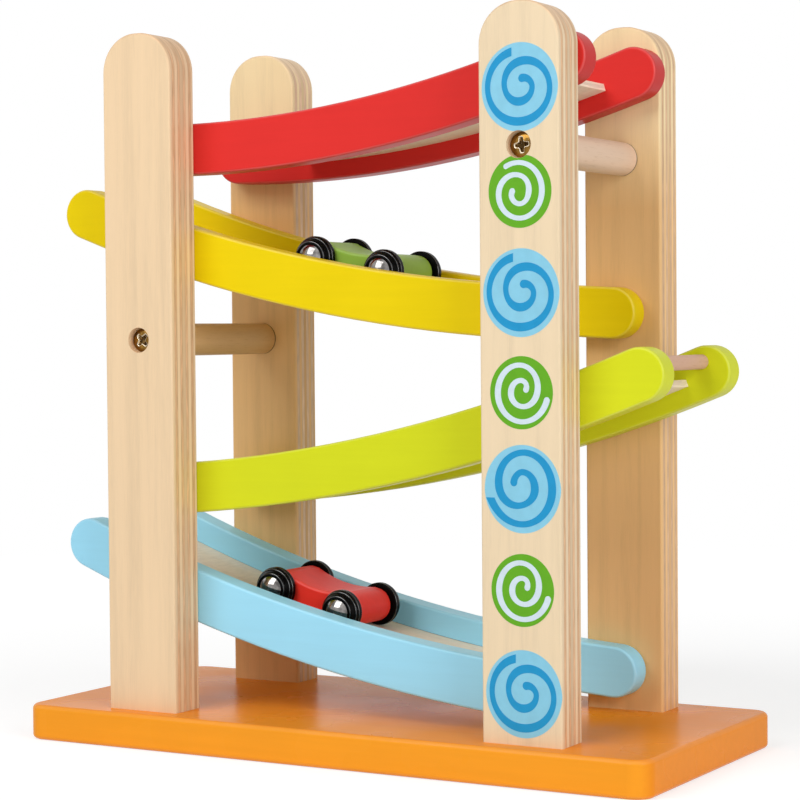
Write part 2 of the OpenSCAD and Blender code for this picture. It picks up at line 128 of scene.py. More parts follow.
class ToySizes(bpy.types.PropertyGroup):
    """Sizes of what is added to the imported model."""

    ply: length("Post ply", "Thickness of one of the nine plies of a post", 17.5 / 9 * MM)
    floor_ply: length("Floor ply", "Thickness of one of the three plies of a track floor", 1 * MM)
    big_disk: length("Big disk", "Height of a printed blue disk", 34.0 * MM)
    small_disk: length("Small disk", "Height of a printed green disk", 28.1 * MM)
    ink: length("Ink", "Thickness of one layer of printed ink", 0.05 * MM)
    rib_round: length("Rib rounding", "Rounding of the moulded ribs of a wheel", 0.2 * MM)
    thread_pitch: length("Thread pitch", "Distance from one turn of a screw's thread to the next", 1.8 * MM)
    wheel_steps: IntProperty(
        name="Wheel steps", description="Number of faces round a wheel", min=24, default=72)


class StageSettings(bpy.types.PropertyGroup):
    """Lamps and floor."""

    key: FloatProperty(name="Key lamp", description="Power of the large lamp", unit="POWER", default=22.2)
    fill: FloatProperty(name="Fill lamp", description="Power of the soft lamp", unit="POWER", default=18.5)
    sky: FloatProperty(name="Sky", description="Strength of the light from all round", default=0.3)
    floor_size: length("Floor size", "Side of the square studio floor", 12.0)


def add_node(tree, kind, inputs=None, **settings):
    """Adds a node, its kind named as in Blender without ShaderNode.

    inputs gives each socket a value or what feeds it: a socket, or a node's first live output.
    """
    node = tree.nodes.new("ShaderNode" + kind)
    for name, value in settings.items():
        setattr(node, name, value)
    for name, value in (inputs or {}).items():
        if isinstance(value, bpy.types.Node):
            value = next(output for output in value.outputs if output.enabled)
        if isinstance(value, bpy.types.NodeSocket):
            tree.links.new(value, node.inputs[name])
        else:
            node.inputs[name].default_value = value
    return node


def new_tree(name):
    """Makes a material. Gives it, what adds a node to its empty tree, and the object's coordinates."""
    material = bpy.data.materials.new(name)
    material.use_nodes = True
    material.node_tree.nodes.clear()
    add = partial(add_node, material.node_tree)
    return material, add, add("TexCoord").outputs


def set_ramp(node, stops):
    """Gives a colour ramp its stops: places and linear colours."""
    elements = node.color_ramp.elements
    while len(elements) > len(stops):
        elements.remove(elements[-1])
    while len(elements) < len(stops):
        elements.new(1.0)
    for element, (place, tint) in zip(elements, stops):
        element.position = place
        element.color = tint


def darker(tint, share):
    """A colour times a share."""
    return (tint[0] * share, tint[1] * share, tint[2] * share, 1.0)


def streaks(add, place, size, **inputs):
    """Noise drawn out to a size in millimetres along X, Y and Z, as grain and scratches are."""
    drawn = add("Mapping", {"Vector": place, "Scale": tuple(1000 / part for part in size)})
    return add("TexNoise", {"Vector": drawn, "Scale": 1.0, **inputs})


def along(axes, size, rest):
    """A size for each of X, Y and Z: size along the named axes, and rest along the others."""
    return tuple(size if axis in axes else rest for axis in "XYZ")


def painted_wood(name, paint, grain, roughness, dip, arris_highlight=0.12, across="Y", gloss=0.13, side_shade_tint=WHITE):
    """Satin enamel sprayed on sanded wood: even colour, faint grain under it, fine orange peel.

    grain is the size of its figure in millimetres, and dip how much of the colour is left where it
    is darkest.
    across is the axis square to the part's flat sides. The arrises slope towards it, and there a painted
    highlight makes them paler; they are also shinier. side_shade_tint is how much red, green and blue is
    left on the faces that look neither forward nor back, as painted shade.
    """
    material, add, source = new_tree(name)
    place = source["Object"]
    figure = streaks(add, place, grain, Detail=3.0, Roughness=0.6)
    cloud = add("TexNoise", {"Vector": place, "Scale": 1000 / 38})
    peel = add("TexNoise", {"Vector": place, "Scale": 1000 / 1.1, "Detail": 1.0})
    both = add("Math", {0: figure, 1: cloud}, operation="ADD")
    tone = add("MapRange", {"Value": both, "From Min": 0.75, "From Max": 1.25})
    ramp = add("ValToRGB", {"Fac": tone})
    set_ramp(ramp, [(0.0, darker(paint, dip)), (1.0, paint)])
    slope = add("SeparateXYZ", {"Vector": source["Normal"]}).outputs
    steep = add("Math", {0: slope[across]}, operation="ABSOLUTE")
    long_side = add("Math", {0: slope["Y"]}, operation="ABSOLUTE")
    turned = add("MapRange", {
        "Value": long_side, "From Min": 0.3, "From Max": 0.8, "To Min": 1.0, "To Max": 0.0})
    # Painted shade: faces that look neither forward nor back are multiplied by side_shade_tint
    side_shaded = add("Mix", {0: turned, TINT_A: ramp, TINT_B: side_shade_tint},
        data_type="RGBA", blend_type="MULTIPLY")
    # Painted highlight: the arrises are mixed towards white, unevenly by the cloud, and are also shinier
    arris = add("ValToRGB", {"Fac": steep})
    set_ramp(arris, [(0.15, BLACK), (0.4, WHITE), (0.85, WHITE), (0.97, BLACK)])
    thin = add("Math", {0: arris, 1: cloud}, operation="MULTIPLY")
    paler = add("Math", {0: thin, 1: arris_highlight}, operation="MULTIPLY")
    highlighted = add("Mix", {0: paler, TINT_A: side_shaded, TINT_B: WHITE}, data_type="RGBA")
    satin = add("MapRange", {
        "Value": cloud, "From Min": 0.3, "From Max": 0.7,
        "To Min": roughness - 0.05, "To Max": roughness + 0.05})
    sheen = add("Math", {0: thin, 1: -0.4, 2: satin}, operation="MULTIPLY_ADD")
    low = add("Bump", {"Height": figure, "Strength": 0.25, "Distance": 0.04 * MM})
    fine = add("Bump", {"Height": peel, "Normal": low, "Strength": 0.3, "Distance": 0.03 * MM})
    shader = add("BsdfPrincipled", {
        "Base Color": highlighted, "Roughness": sheen, "Normal": fine, "IOR": 1.5, "Specular IOR Level": gloss})
    add("OutputMaterial", {"Surface": shader})
    return material


# Heights between which painted shade on the back posts' inner faces fades into their pale tips
BACK_SHADE_TOP = 225 * MM
BACK_UNSHADED_FROM = 262 * MM


def plywood(name, centre, near, ply, count, grain_axes, long_tint, end_tint, unshaded_tint=None):
    """Rotary-cut birch plywood, sanded: plies with crossed grain show as stripes on every edge.

    centre is None for plies counted along Y from near, or the track's centre for plies counted
    outward from the radius near. grain_axes are the ways of the grain in every other ply, the
    outer ones first, and in those between.
    """
    material, add, source = new_tree(name)
    place = source["Object"]
    parts = add("SeparateXYZ", {"Vector": place}).outputs
    facing = add("VectorMath", {0: source["Normal"]}, operation="ABSOLUTE")
    faced = add("SeparateXYZ", {"Vector": facing}).outputs
    if centre is None:
        across = add("Math", {0: parts["Y"]}, operation="ABSOLUTE")
    else:
        moved = add("VectorMath", {0: place, 1: (centre[0], 0, centre[1])}, operation="SUBTRACT")
        flat = add("VectorMath", {0: moved, 1: (1, 0, 1)}, operation="MULTIPLY")
        across = add("VectorMath", {0: flat}, operation="LENGTH")
    # The outer faces lie just inside the first and the last ply, so they show one veneer only
    depth = add("MapRange", {
        "Value": across, "From Min": near + 0.2 * ply, "From Max": near + (count - 0.2) * ply,
        "To Min": 0.2, "To Max": count - 0.2})
    layer = add("Math", {0: depth}, operation="FLOOR")
    turned = add("Math", {0: layer, 1: 2.0}, operation="MODULO")
    seam = add("Math", {0: depth}, operation="FRACT")
    glue = add("MapRange", {
        "Value": seam, "From Min": 0.04, "From Max": 0.13, "To Min": 1.0, "To Max": 0.0})
    endness = add("Mix", {0: turned, "A": faced[grain_axes[0]], "B": faced[grain_axes[1]]})
    # Growth rings run 5 mm apart and 110 mm along the veneer. Its pores are 0.1 mm wide, drawn
    # 0.5 mm wide so that they show
    wave = streaks(add, place, along(grain_axes[0], 110.0, 5.0), Detail=4.0, Roughness=0.55, Distortion=0.4)
    pore = streaks(add, place, along(grain_axes[0], 9.0, 0.5))
    figure = add("Math", {0: pore, 1: 0.35, 2: wave}, operation="MULTIPLY_ADD")
    spread = add("MapRange", {"Value": figure, "From Min": 0.45, "From Max": 0.9})
    face = add("ValToRGB", {"Fac": spread})
    set_ramp(face, [(0.0, darker(long_tint, 0.91)), (0.55, long_tint), (1.0, darker(long_tint, 1.03))])
    if unshaded_tint:
        # Painted shade: the inner faces are yellower and deeper low down, where the tracks and front posts
        # shade them,
        #         and pale at the tips; the outer faces are pale all over
        tip = add("MapRange", {"Value": parts["Z"], "From Min": BACK_SHADE_TOP, "From Max": BACK_UNSHADED_FROM})
        outward = add("SeparateXYZ", {"Vector": source["Normal"]}).outputs["Y"]
        outer = add("MapRange", {"Value": outward, "From Min": 0.1, "From Max": 0.4})
        unshaded_share = add("Math", {0: tip, 1: outer}, operation="MAXIMUM")
        shade = tuple(a / b for a, b in zip(unshaded_tint, long_tint))
        paler = add("Mix", {0: unshaded_share, TINT_A: WHITE, TINT_B: shade}, data_type="RGBA")
        face = add("Mix", {0: 1.0, TINT_A: face, TINT_B: paler}, data_type="RGBA", blend_type="MULTIPLY")
    # A peeled veneer's rings run along it, so its end grain is streaked
    speck = streaks(add, place, along(grain_axes, 7.0, 0.6))
    cut = add("ValToRGB", {"Fac": speck})
    set_ramp(cut, [(0.3, darker(end_tint, 0.82)), (0.7, darker(end_tint, 1.14))])
    mixed = add("Mix", {0: endness, TINT_A: face, TINT_B: cut}, data_type="RGBA")
    # No two veneers of a sheet have quite the same tone
    own = add("TexWhiteNoise", {"W": layer}, noise_dimensions="1D")
    veneer = add("ValToRGB", {"Fac": own})
    set_ramp(veneer, [(0.0, (0.87, 0.83, 0.8, 1)), (1.0, (1.05, 1.05, 1.05, 1))])
    toned = add("Mix", {0: 1.0, TINT_A: mixed, TINT_B: veneer}, data_type="RGBA", blend_type="MULTIPLY")
    glued = add("Math", {0: glue, 1: 0.4}, operation="MULTIPLY")
    lined = add("Mix", {0: glued, TINT_A: toned, TINT_B: darker(end_tint, 0.6)}, data_type="RGBA")
    bump = add("Bump", {"Height": figure, "Strength": 0.2, "Distance": 0.05 * MM})
    rough = add("MapRange", {
        "Value": figure, "From Min": 0.4, "From Max": 0.9, "To Min": 0.52, "To Max": 0.4})
    shader = add("BsdfPrincipled", {
        "Base Color": lined, "Roughness": rough, "Normal": bump, "IOR": 1.5, "Specular IOR Level": 0.2})
    add("OutputMaterial", {"Surface": shader})
    return material


# Painted shade darkens a dowel where it meets a post: from where it fades in to where it is full,
# from the middle of the toy
SEAM_SHADE_SPAN = (38.1 * MM, 38.6 * MM)


def turned_beech(name, tint):
    """Turned beech, sanded: an even pinkish ground, faint rings, and flecks one tone darker.

    Its grain runs along Y, as all dowels and pegs of the toy lie.
    """
    material, add, source = new_tree(name)
    place = source["Object"]
    fleck = streaks(add, place, along("Y", 6.0, 0.5), Detail=1.0)
    ring = streaks(add, place, along("Y", 90.0, 4.0), Detail=3.0)
    ground = add("ValToRGB", {"Fac": ring})
    set_ramp(ground, [(0.3, darker(tint, 0.93)), (0.65, darker(tint, 1.03))])
    dashes = add("ValToRGB", {"Fac": fleck})
    set_ramp(dashes, [(0.25, (0.92, 0.88, 0.84, 1)), (0.42, WHITE)])
    tone = add("Mix", {0: 1.0, TINT_A: ground, TINT_B: dashes}, data_type="RGBA", blend_type="MULTIPLY")
    lengthwise = add("SeparateXYZ", {"Vector": place}).outputs["Y"]
    way = add("Math", {0: lengthwise}, operation="ABSOLUTE")
    # Painted shade: the dowel darkens towards the post it sits in
    seam_shade = add("MapRange", {
        "Value": way, "From Min": SEAM_SHADE_SPAN[0], "From Max": SEAM_SHADE_SPAN[1], "To Max": 0.9})
    seam_shaded = add("Mix", {0: seam_shade, TINT_A: tone, TINT_B: darker(tint, 0.12)}, data_type="RGBA")
    bump = add("Bump", {"Height": fleck, "Strength": 0.12, "Distance": 0.05 * MM})
    rough = add("MapRange", {"Value": ring, "To Min": 0.6, "To Max": 0.48})
    shader = add("BsdfPrincipled", {
        "Base Color": seam_shaded, "Roughness": rough, "Normal": bump, "IOR": 1.5, "Specular IOR Level": 0.25})
    add("OutputMaterial", {"Surface": shader})
    return material


def bright_metal(name, tint, roughness, streak, smudge=0.9):
    """Plated or polished metal: bright, with faint cloudy marks and hair-fine handling scratches."""
    material, add, source = new_tree(name)
    place = source["Object"]
    cloud = add("TexNoise", {"Vector": place, "Scale": 1000 / 2.5, "Detail": 3.0})
    # Real scratches are 0.01 mm wide, drawn 0.2 mm wide so that they show
    scratch = streaks(add, place, along("Y", 3.0, 0.2))
    ramp = add("ValToRGB", {"Fac": cloud})
    set_ramp(ramp, [(0.3, darker(tint, smudge)), (0.7, tint)])
    rough = add("MapRange", {
        "Value": cloud, "From Min": 0.3, "From Max": 0.7,
        "To Min": roughness * 0.8, "To Max": roughness * 1.3})
    bump = add("Bump", {"Height": scratch, "Strength": streak, "Distance": 0.01 * MM})
    shader = add("BsdfPrincipled", {
        "Base Color": ramp, "Metallic": 1.0, "Roughness": rough, "Normal": bump})
    add("OutputMaterial", {"Surface": shader})
    return material


def moulded_abs(name, tint, gloss, rough_low, rough_high):
    """Black moulded ABS: deep gloss, with slow waves in the surface and a few dull patches."""
    material, add, source = new_tree(name)
    place = source["Object"]
    cloud = add("TexNoise", {"Vector": place, "Scale": 1000 / 3.0, "Detail": 3.0})
    flow = add("TexNoise", {"Vector": place, "Scale": 1000 / 1.6, "Detail": 1.0})
    ramp = add("ValToRGB", {"Fac": cloud})
    set_ramp(ramp, [(0.3, darker(tint, 0.7)), (0.7, darker(tint, 1.3))])
    rough = add("MapRange", {
        "Value": cloud, "From Min": 0.3, "From Max": 0.7, "To Min": rough_low, "To Max": rough_high})
    bump = add("Bump", {"Height": flow, "Strength": 0.15, "Distance": 0.02 * MM})
    shader = add("BsdfPrincipled", {
        "Base Color": ramp, "Roughness": rough, "Normal": bump, "IOR": 1.53, "Specular IOR Level": gloss})
    add("OutputMaterial", {"Surface": shader})
    return material


def printed_ink(name, tint):
    """Screen-printed ink on birch: even, a little mottled, with the mesh's fine tooth."""
    material, add, source = new_tree(name)
    place = source["Object"]
    mottle = add("TexNoise", {"Vector": place, "Scale": 1000 / 4.0, "Detail": 3.0})
    # The screen has 0.1 mm threads, drawn 0.45 mm apart so that they show
    tooth = add("TexNoise", {"Vector": place, "Scale": 1000 / 0.45, "Detail": 1.0})
    ramp = add("ValToRGB", {"Fac": mottle})
    set_ramp(ramp, [(0.3, darker(tint, 0.94)), (0.65, tint)])
    rough = add("MapRange", {"Value": mottle, "To Min": 0.42, "To Max": 0.55})
    bump = add("Bump", {"Height": tooth, "Strength": 0.2, "Distance": 0.02 * MM})
    shader = add("BsdfPrincipled", {
        "Base Color": ramp, "Roughness": rough, "Normal": bump, "IOR": 1.5, "Specular IOR Level": 0.2})
    add("OutputMaterial", {"Surface": shader})
    return material


def dress(names, material):
    """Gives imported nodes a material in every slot."""
    for name in names:
        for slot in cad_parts[name].material_slots:
            slot.material = material


def new_piece(name, points, faces, materials, body, smooth):
    """Makes a closed mesh piece that rides on a body."""
    mesh = bpy.data.meshes.new(name)
    mesh.from_pydata(points, [], faces)
    mesh.validate()
    for material in materials:
        mesh.materials.append(material)
    for face in mesh.polygons:
        face.use_smooth = smooth
    piece = bpy.data.objects.new(name, mesh)
    bpy.context.scene.collection.objects.link(piece)
    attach(piece, body)
    return piece


def clamp(value, low=0):
    """A value kept between low and 1."""
    return min(max(value, low), 1)


def circle(radius, height, steps):
    """Points of a level circle about the origin."""
    turns = [2 * math.pi * step / steps for step in range(steps)]
    return [(radius * math.cos(turn), radius * math.sin(turn), height) for turn in turns]


def band(near, far, steps):
    """Faces that join two closed rings of points, numbered from near and from far."""
    return [(near + s, far + s, far + (s + 1) % steps, near + (s + 1) % steps) for s in range(steps)]


def web(rings, steps):
    """Faces from point 0 out over rings of points that are numbered from 1."""
    faces = [(0, 1 + s, 1 + (s + 1) % steps) for s in range(steps)]
    for i in range(rings - 1):
        faces += band(1 + i * steps, 1 + (i + 1) * steps, steps)
    return faces


# Steps in the curve of a rounded corner
CORNER_STEPS = 4


def rounded_profile(corners, radius):
    """Rounds each inner corner of a polyline by a small curve."""
    points = [Vector(corners[0])]
    for before, corner, after in zip(corners, corners[1:], corners[2:]):
        before, corner, after = Vector(before), Vector(corner), Vector(after)
        arm_in = min(radius, (before - corner).length * 0.45)
        arm_out = min(radius, (after - corner).length * 0.45)
        start = corner + (before - corner).normalized() * arm_in
        end = corner + (after - corner).normalized() * arm_out
        for step in range(CORNER_STEPS + 1):
            share = step / CORNER_STEPS
            points.append(start * (1 - share) ** 2 + corner * 2 * share * (1 - share) + end * share ** 2)
    points.append(Vector(corners[-1]))
    return points


def lathe(profile, steps, place):
    """Turns a closed profile of radius and height about an axis; place maps a point into the frame."""
    points = []
    faces = []
    count = len(profile)
    for step, (x, y, _) in enumerate(circle(1, 0, steps)):
        points += [place @ Vector((radius * x, radius * y, height)) for radius, height in profile]
        faces += band(step * count, (step + 1) % steps * count, count)
    return points, faces


# Points round a screw, rings over its head, and rings for one turn of its thread
SCREW_STEPS = 72
HEAD_RINGS = 26
THREAD_RINGS = 8


def screw_mesh(place, size, pitch):
    """A countersunk cross-recess wood screw with its thread, under a placing matrix.

    size is its length and the radii of its head, seat and shank. Gives its points, its faces,
    which faces get a painted highlight round the cross, and which get painted shade deep in it.
    """
    long_, head_r, seat_r, shank_r = size
    steps = SCREW_STEPS
    glint_spots = set()
    shaded_spots = set()
    # The cross: how far it reaches, how wide the painted highlight round its brink is, and how steep its
    # walls are
    recess = 0.6 * head_r
    brink_glint = 0.07 * head_r
    side_wall = 0.06 * head_r
    end_wall = 0.08 * head_r
    rings = []
    # The head's top: a low dome with the cross pressed in
    for i in range(1, HEAD_RINGS + 1):
        radius = head_r * 0.95 * i / HEAD_RINGS
        ring = []
        for step, (x, y, _) in enumerate(circle(radius, 0, steps)):
            long_way = max(abs(x), abs(y))
            short_way = min(abs(x), abs(y))
            wing = 0.24 * head_r * (1.0 - 0.45 * long_way / recess)
            brink = abs(wing - short_way) < brink_glint and long_way < 1.06 * recess
            number = 1 + (i - 1) * steps + step
            # Painted highlight on the faces round the cross's brink, painted shade on those deep in it
            if brink or (short_way < wing and abs(long_way - recess) < brink_glint):
                glint_spots.add(number)
            inside = clamp((wing - short_way) / side_wall) * clamp((recess - long_way) / end_wall)
            if inside > 0.9:
                shaded_spots.add(number)
            heart = min(max(1 - radius / (0.3 * head_r), 0) * 2, 1)
            dome = 0.14 * head_r * (1 - (radius / head_r) ** 2)
            drop = max(inside * 0.5, heart * 0.5) * head_r * (1.1 - 0.6 * min(long_way / recess, 1))
            ring.append((x, y, dome - drop))
        rings.append(ring)
    for radius, height in ((0.985, 0.004), (1.0, -0.03), (0.97, -0.09)):
        rings.append(circle(head_r * radius, head_r * height, steps))
    # Under the rim the cone starts, then the plain neck, then the thread as a climbing ridge
    cone = 0.7 * seat_r
    core_r = 0.68 * shank_r
    rings.append(circle(seat_r, -0.09 * head_r, steps))
    rings.append(circle(core_r, -cone, steps))
    neck_end = -cone - 1.2 * pitch
    point_start = -long_ + 2.4 * shank_r
    height = neck_end
    while height > -long_:
        taper = clamp((height + long_) / (point_start + long_), 0.02)
        fade = clamp((neck_end - height) / pitch)
        ring = []
        for s, (x, y, _) in enumerate(circle(1, height, steps)):
            turn = (height / pitch - s / steps) % 1.0
            ridge = max(0.0, 1 - abs(turn - 0.5) / 0.2) * fade
            radius = (core_r + (shank_r - core_r) * ridge) * taper
            ring.append((radius * x, radius * y, height))
        rings.append(ring)
        height -= pitch / THREAD_RINGS
    points = [place @ Vector((0, 0, rings[0][0][2]))]
    for ring in rings:
        points.extend(place @ Vector(point) for point in ring)
    points.append(place @ Vector((0, 0, -long_)))
    faces = web(len(rings), steps)
    last = len(points) - 1
    start = last - steps
    faces += [(start + s, last, start + (s + 1) % steps) for s in range(steps)]
    marks = [{i for i, face in enumerate(faces) if spots.issuperset(face)} for spots in (glint_spots, shaded_spots)]
    return points, faces, marks


# Each spiral: angles in degrees from the right, with the stroke's middle as a share of the disk's
# radius, then half the stroke's width and its swing, the angle of the swing, and both ends
SPIRALS = {
    "blue_upright": (
        ((106, 0.822), (133, 0.838), (180, 0.84), (270, 0.774), (360, 0.788), (450, 0.569), (540, 0.39),
         (630, 0.327), (720, 0.333), (745, 0.3), (775, 0.24), (791, 0.205)),
        0.083, 0.0135, 90, "upright", "round"),
    "blue_level": (
        ((197, 0.868), (218, 0.831), (270, 0.796), (360, 0.78), (450, 0.826), (540, 0.609), (630, 0.361),
         (720, 0.327), (810, 0.385), (845, 0.32), (866, 0.27)),
        0.087, 0.0165, 0, "level", "round"),
    "green_long": (
        ((123, 0.815), (90, 0.775), (0, 0.70), (-90, 0.735), (-180, 0.67), (-270, 0.43), (-360, 0.286),
         (-450, 0.345), (-510, 0.3), (-540, 0.24)),
        0.079, 0.012, 0, "round", "round"),
    "green_short": (
        ((345.5, 0.833), (323, 0.82), (270, 0.793), (180, 0.751), (90, 0.752), (0, 0.506), (-90, 0.374),
         (-180, 0.331), (-270, 0.334), (-300, 0.29), (-330, 0.175)),
        0.083, 0.014, 0, "round", "round"),
}
# Degrees from one point of a stroke to the next, and a round end's points in radians
STROKE_STEP = 4
ROUND_END = (-1.2, -0.8, -0.4, 0, 0.4, 0.8, 1.2)
# Each disk: its centre's X and Z in millimetres, its ink and its spiral
DISKS = (
    (90.6, 267.8, "blue", "blue_upright"),
    (90.5, 228.1, "green", "green_long"),
    (90.7, 189.3, "blue", "blue_upright"),
    (90.6, 151.0, "green", "green_short"),
    (90.8, 114.0, "blue", "blue_level"),
    (90.6, 75.0, "green", "green_short"),
    (90.8, 35.0, "blue", "blue_upright"),
)
DISK_STEPS = 96
DISK_RINGS = 12
# The disks are printed a little narrower than they are high
NARROW = 0.957
POST_X = 90 * MM
POST_ARRIS = 0.9 * MM
POST_LOW, POST_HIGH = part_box("post_front_right")
# The sunk hole in the printed post: its height, and its radius with a little room
SINK_Z = 246 * MM
SINK_R = 5.3 * MM * 1.01


def face_y(x, height):
    """The front face of the printed post at x, rounded at its arrises, raised by height."""
    half = (POST_HIGH.x - POST_LOW.x) / 2 - POST_ARRIS
    past = min(max(abs(x - POST_X) - half, 0), POST_ARRIS * 0.98)
    return POST_LOW.y + POST_ARRIS - math.sqrt(POST_ARRIS ** 2 - past ** 2) - height


def smooth_radius(knots, angle):
    """A smooth radius through the knots of a spiral."""
    if knots[0][0] > knots[-1][0]:
        knots = [(-a, r) for a, r in knots]
        angle = -angle
    places = [a for a, r in knots]
    i = max(j for j in range(len(places) - 1) if places[j] <= angle + 1e-9 or j == 0)

    def slope(k):
        a = max(k - 1, 0)
        b = min(k + 1, len(knots) - 1)
        return (knots[b][1] - knots[a][1]) / (knots[b][0] - knots[a][0])

    wide = places[i + 1] - places[i]
    t = (angle - places[i]) / wide
    return ((2 * t ** 3 - 3 * t ** 2 + 1) * knots[i][1] + (t ** 3 - 2 * t ** 2 + t) * wide * slope(i)
        + (3 * t ** 2 - 2 * t ** 3) * knots[i + 1][1] + (t ** 3 - t ** 2) * wide * slope(i + 1))


def stroke_sides(design, radius):
    """A spiral stroke's right side, its last end, its left side backwards and its first end.

    An end is round, or cut straight up or level.
    """
    knots, half, swing, swing_at, start_end, last_end = design
    first = knots[0][0]
    last = knots[-1][0]
    count = int(abs(last - first) / STROKE_STEP)
    middle = []
    for i in range(count + 1):
        angle = first + (last - first) * i / count
        r = smooth_radius(knots, angle)
        turn = math.radians(angle)
        middle.append((Vector((r * math.cos(turn), r * math.sin(turn))), angle))
    left = []
    right = []
    for i, (point, angle) in enumerate(middle):
        along_it = middle[min(i + 1, count)][0] - middle[max(i - 1, 0)][0]
        along_it.normalize()
        side = Vector((-along_it.y, along_it.x))
        wide = half + swing * math.cos(math.radians(2 * (angle - swing_at)))
        left.append(point + side * wide)
        right.append(point - side * wide)
    ends = []
    for kind, tip, before in ((start_end, 0, 1), (last_end, -1, -2)):
        point = middle[tip][0]
        out = (point - middle[before][0]).normalized()
        wide = (left[tip] - right[tip]).length / 2
        if kind == "round":
            start = math.atan2(out.y, out.x)
            ends.append([point + wide * Vector((math.cos(start + turn), math.sin(start + turn)))
                for turn in ROUND_END])
        else:
            # The side that falls short runs on to where the other one ends
            way = 0 if kind == "upright" else 1
            side = Vector((-out.y, out.x)) * wide
            short = side if side[way] * out[way] < 0 else -side
            ends.append([point + short + out * (2 * abs(side[way]) / abs(out[way]))])
    return [[p * radius for p in part] for part in (right, ends[1], left[::-1], ends[0])]


class TOY_OT_base_board(bpy.types.Operator):
    """Paint the base board"""

    bl_idname = "toy.base_board"
    bl_label = "Base board"

    def execute(self, context):
        colours = context.scene.toy_colours
        # Solid wood under a thick sprayed enamel, so the grain is barely felt
        # Painted shade: the top and sides take a redder tint than the front
        enamel = painted_wood("orange_enamel", colours.base_paint, (70, 4, 4), 0.28, 0.95,
            arris_highlight=0.05, across="Z", gloss=0.05, side_shade_tint=(1, 0.87, 0.87, 1))
        dress(["base_board"], enamel)
        return {"FINISHED"}


class TOY_OT_posts(bpy.types.Operator):
    """Give the four posts their birch plywood"""

    bl_idname = "toy.posts"
    bl_label = "Posts"

    def execute(self, context):
        colours = context.scene.toy_colours
        sizes = context.scene.toy_sizes
        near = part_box("post_back_left")[0].y
        # The back posts carry painted shade: a deeper veneer low on their inner faces and a pale one above
        for post, veneer, end, tip in (
                ("front_left", colours.birch_left, colours.birch_end, None),
                ("front_right", colours.birch_right, colours.birch_end, None),
                ("back_left", colours.birch_back_shaded, colours.birch_pale, colours.birch_back_unshaded),
                ("back_right", colours.birch_back_shaded, colours.birch_end, colours.birch_back_unshaded)):
            birch = plywood(post + "_birch_plywood_18", None, near, sizes.ply, 9, "ZX", veneer, end, tip)
            dress(["post_" + post], birch)
        return {"FINISHED"}


class TOY_OT_rails(bpy.types.Operator):
    """Paint the rails of the four tracks"""

    bl_idname = "toy.rails"
    bl_label = "Rails"

    def execute(self, context):
        colours = context.scene.toy_colours
        for track in TRACK_CENTRES:
            paint = getattr(colours, track + "_paint")
            # Painted shade: the red is darker at the ends and underneath
            side_shade_tint = (0.8, 0.6, 0.6, 1) if track == "red" else WHITE
            enamel = painted_wood(track + "_enamel", paint, (60, 3, 3), 0.38, 0.96, side_shade_tint=side_shade_tint)
            dress([track + "_rail_front", track + "_rail_back"], enamel)
        return {"FINISHED"}


class TOY_OT_floors(bpy.types.Operator):
    """Give the track floors their thin plywood"""

    bl_idname = "toy.floors"
    bl_label = "Track floors"

    def execute(self, context):
        colours = context.scene.toy_colours
        sizes = context.scene.toy_sizes
        for track, (x, z, radius) in TRACK_CENTRES.items():
            thin = plywood(track + "_birch_plywood_3", (x, z), radius, sizes.floor_ply, 3, "XY",
                colours.floor_long, colours.floor_end)
            dress([track + "_floor"], thin)
        return {"FINISHED"}


class TOY_OT_dowels(bpy.types.Operator):
    """Give dowels and pegs their turned beech"""

    bl_idname = "toy.dowels"
    bl_label = "Dowels and pegs"

    def execute(self, context):
        colours = context.scene.toy_colours
        dress(["spacer_right", "rail_pegs"], turned_beech("pale_turned_beech", colours.beech))
        # Painted shade: the left spacer gets a browner copy of the beech
        dress(["spacer_left"], turned_beech("brown_turned_beech", colours.shaded_beech))
        dress(["yellow_stop", "green_stop", "blue_stop"],
            turned_beech("red_turned_beech", colours.red_beech))
        return {"FINISHED"}


# Screws: their length, and the radii of head, seat and shank
SPACER_SCREW = (35 * MM, 5 * MM, 4 * MM, 2 * MM)
POST_SCREW = (38 * MM, 4 * MM, 3.8 * MM, 2 * MM)
# The spacers' screws: X and Z of their axes, how far each is turned, and their heads' Y
SPACER_SCREWS = ((-POST_X, 172 * MM, 0.8), (POST_X, SINK_Z, 0.1))
SPACER_HEAD_Y = 53.45 * MM
# The head of a screw under a post: X from the middle of the post, then Y and Z
FOOT_HEAD = (9.315 * MM, 47.75 * MM, 0.8 * MM)


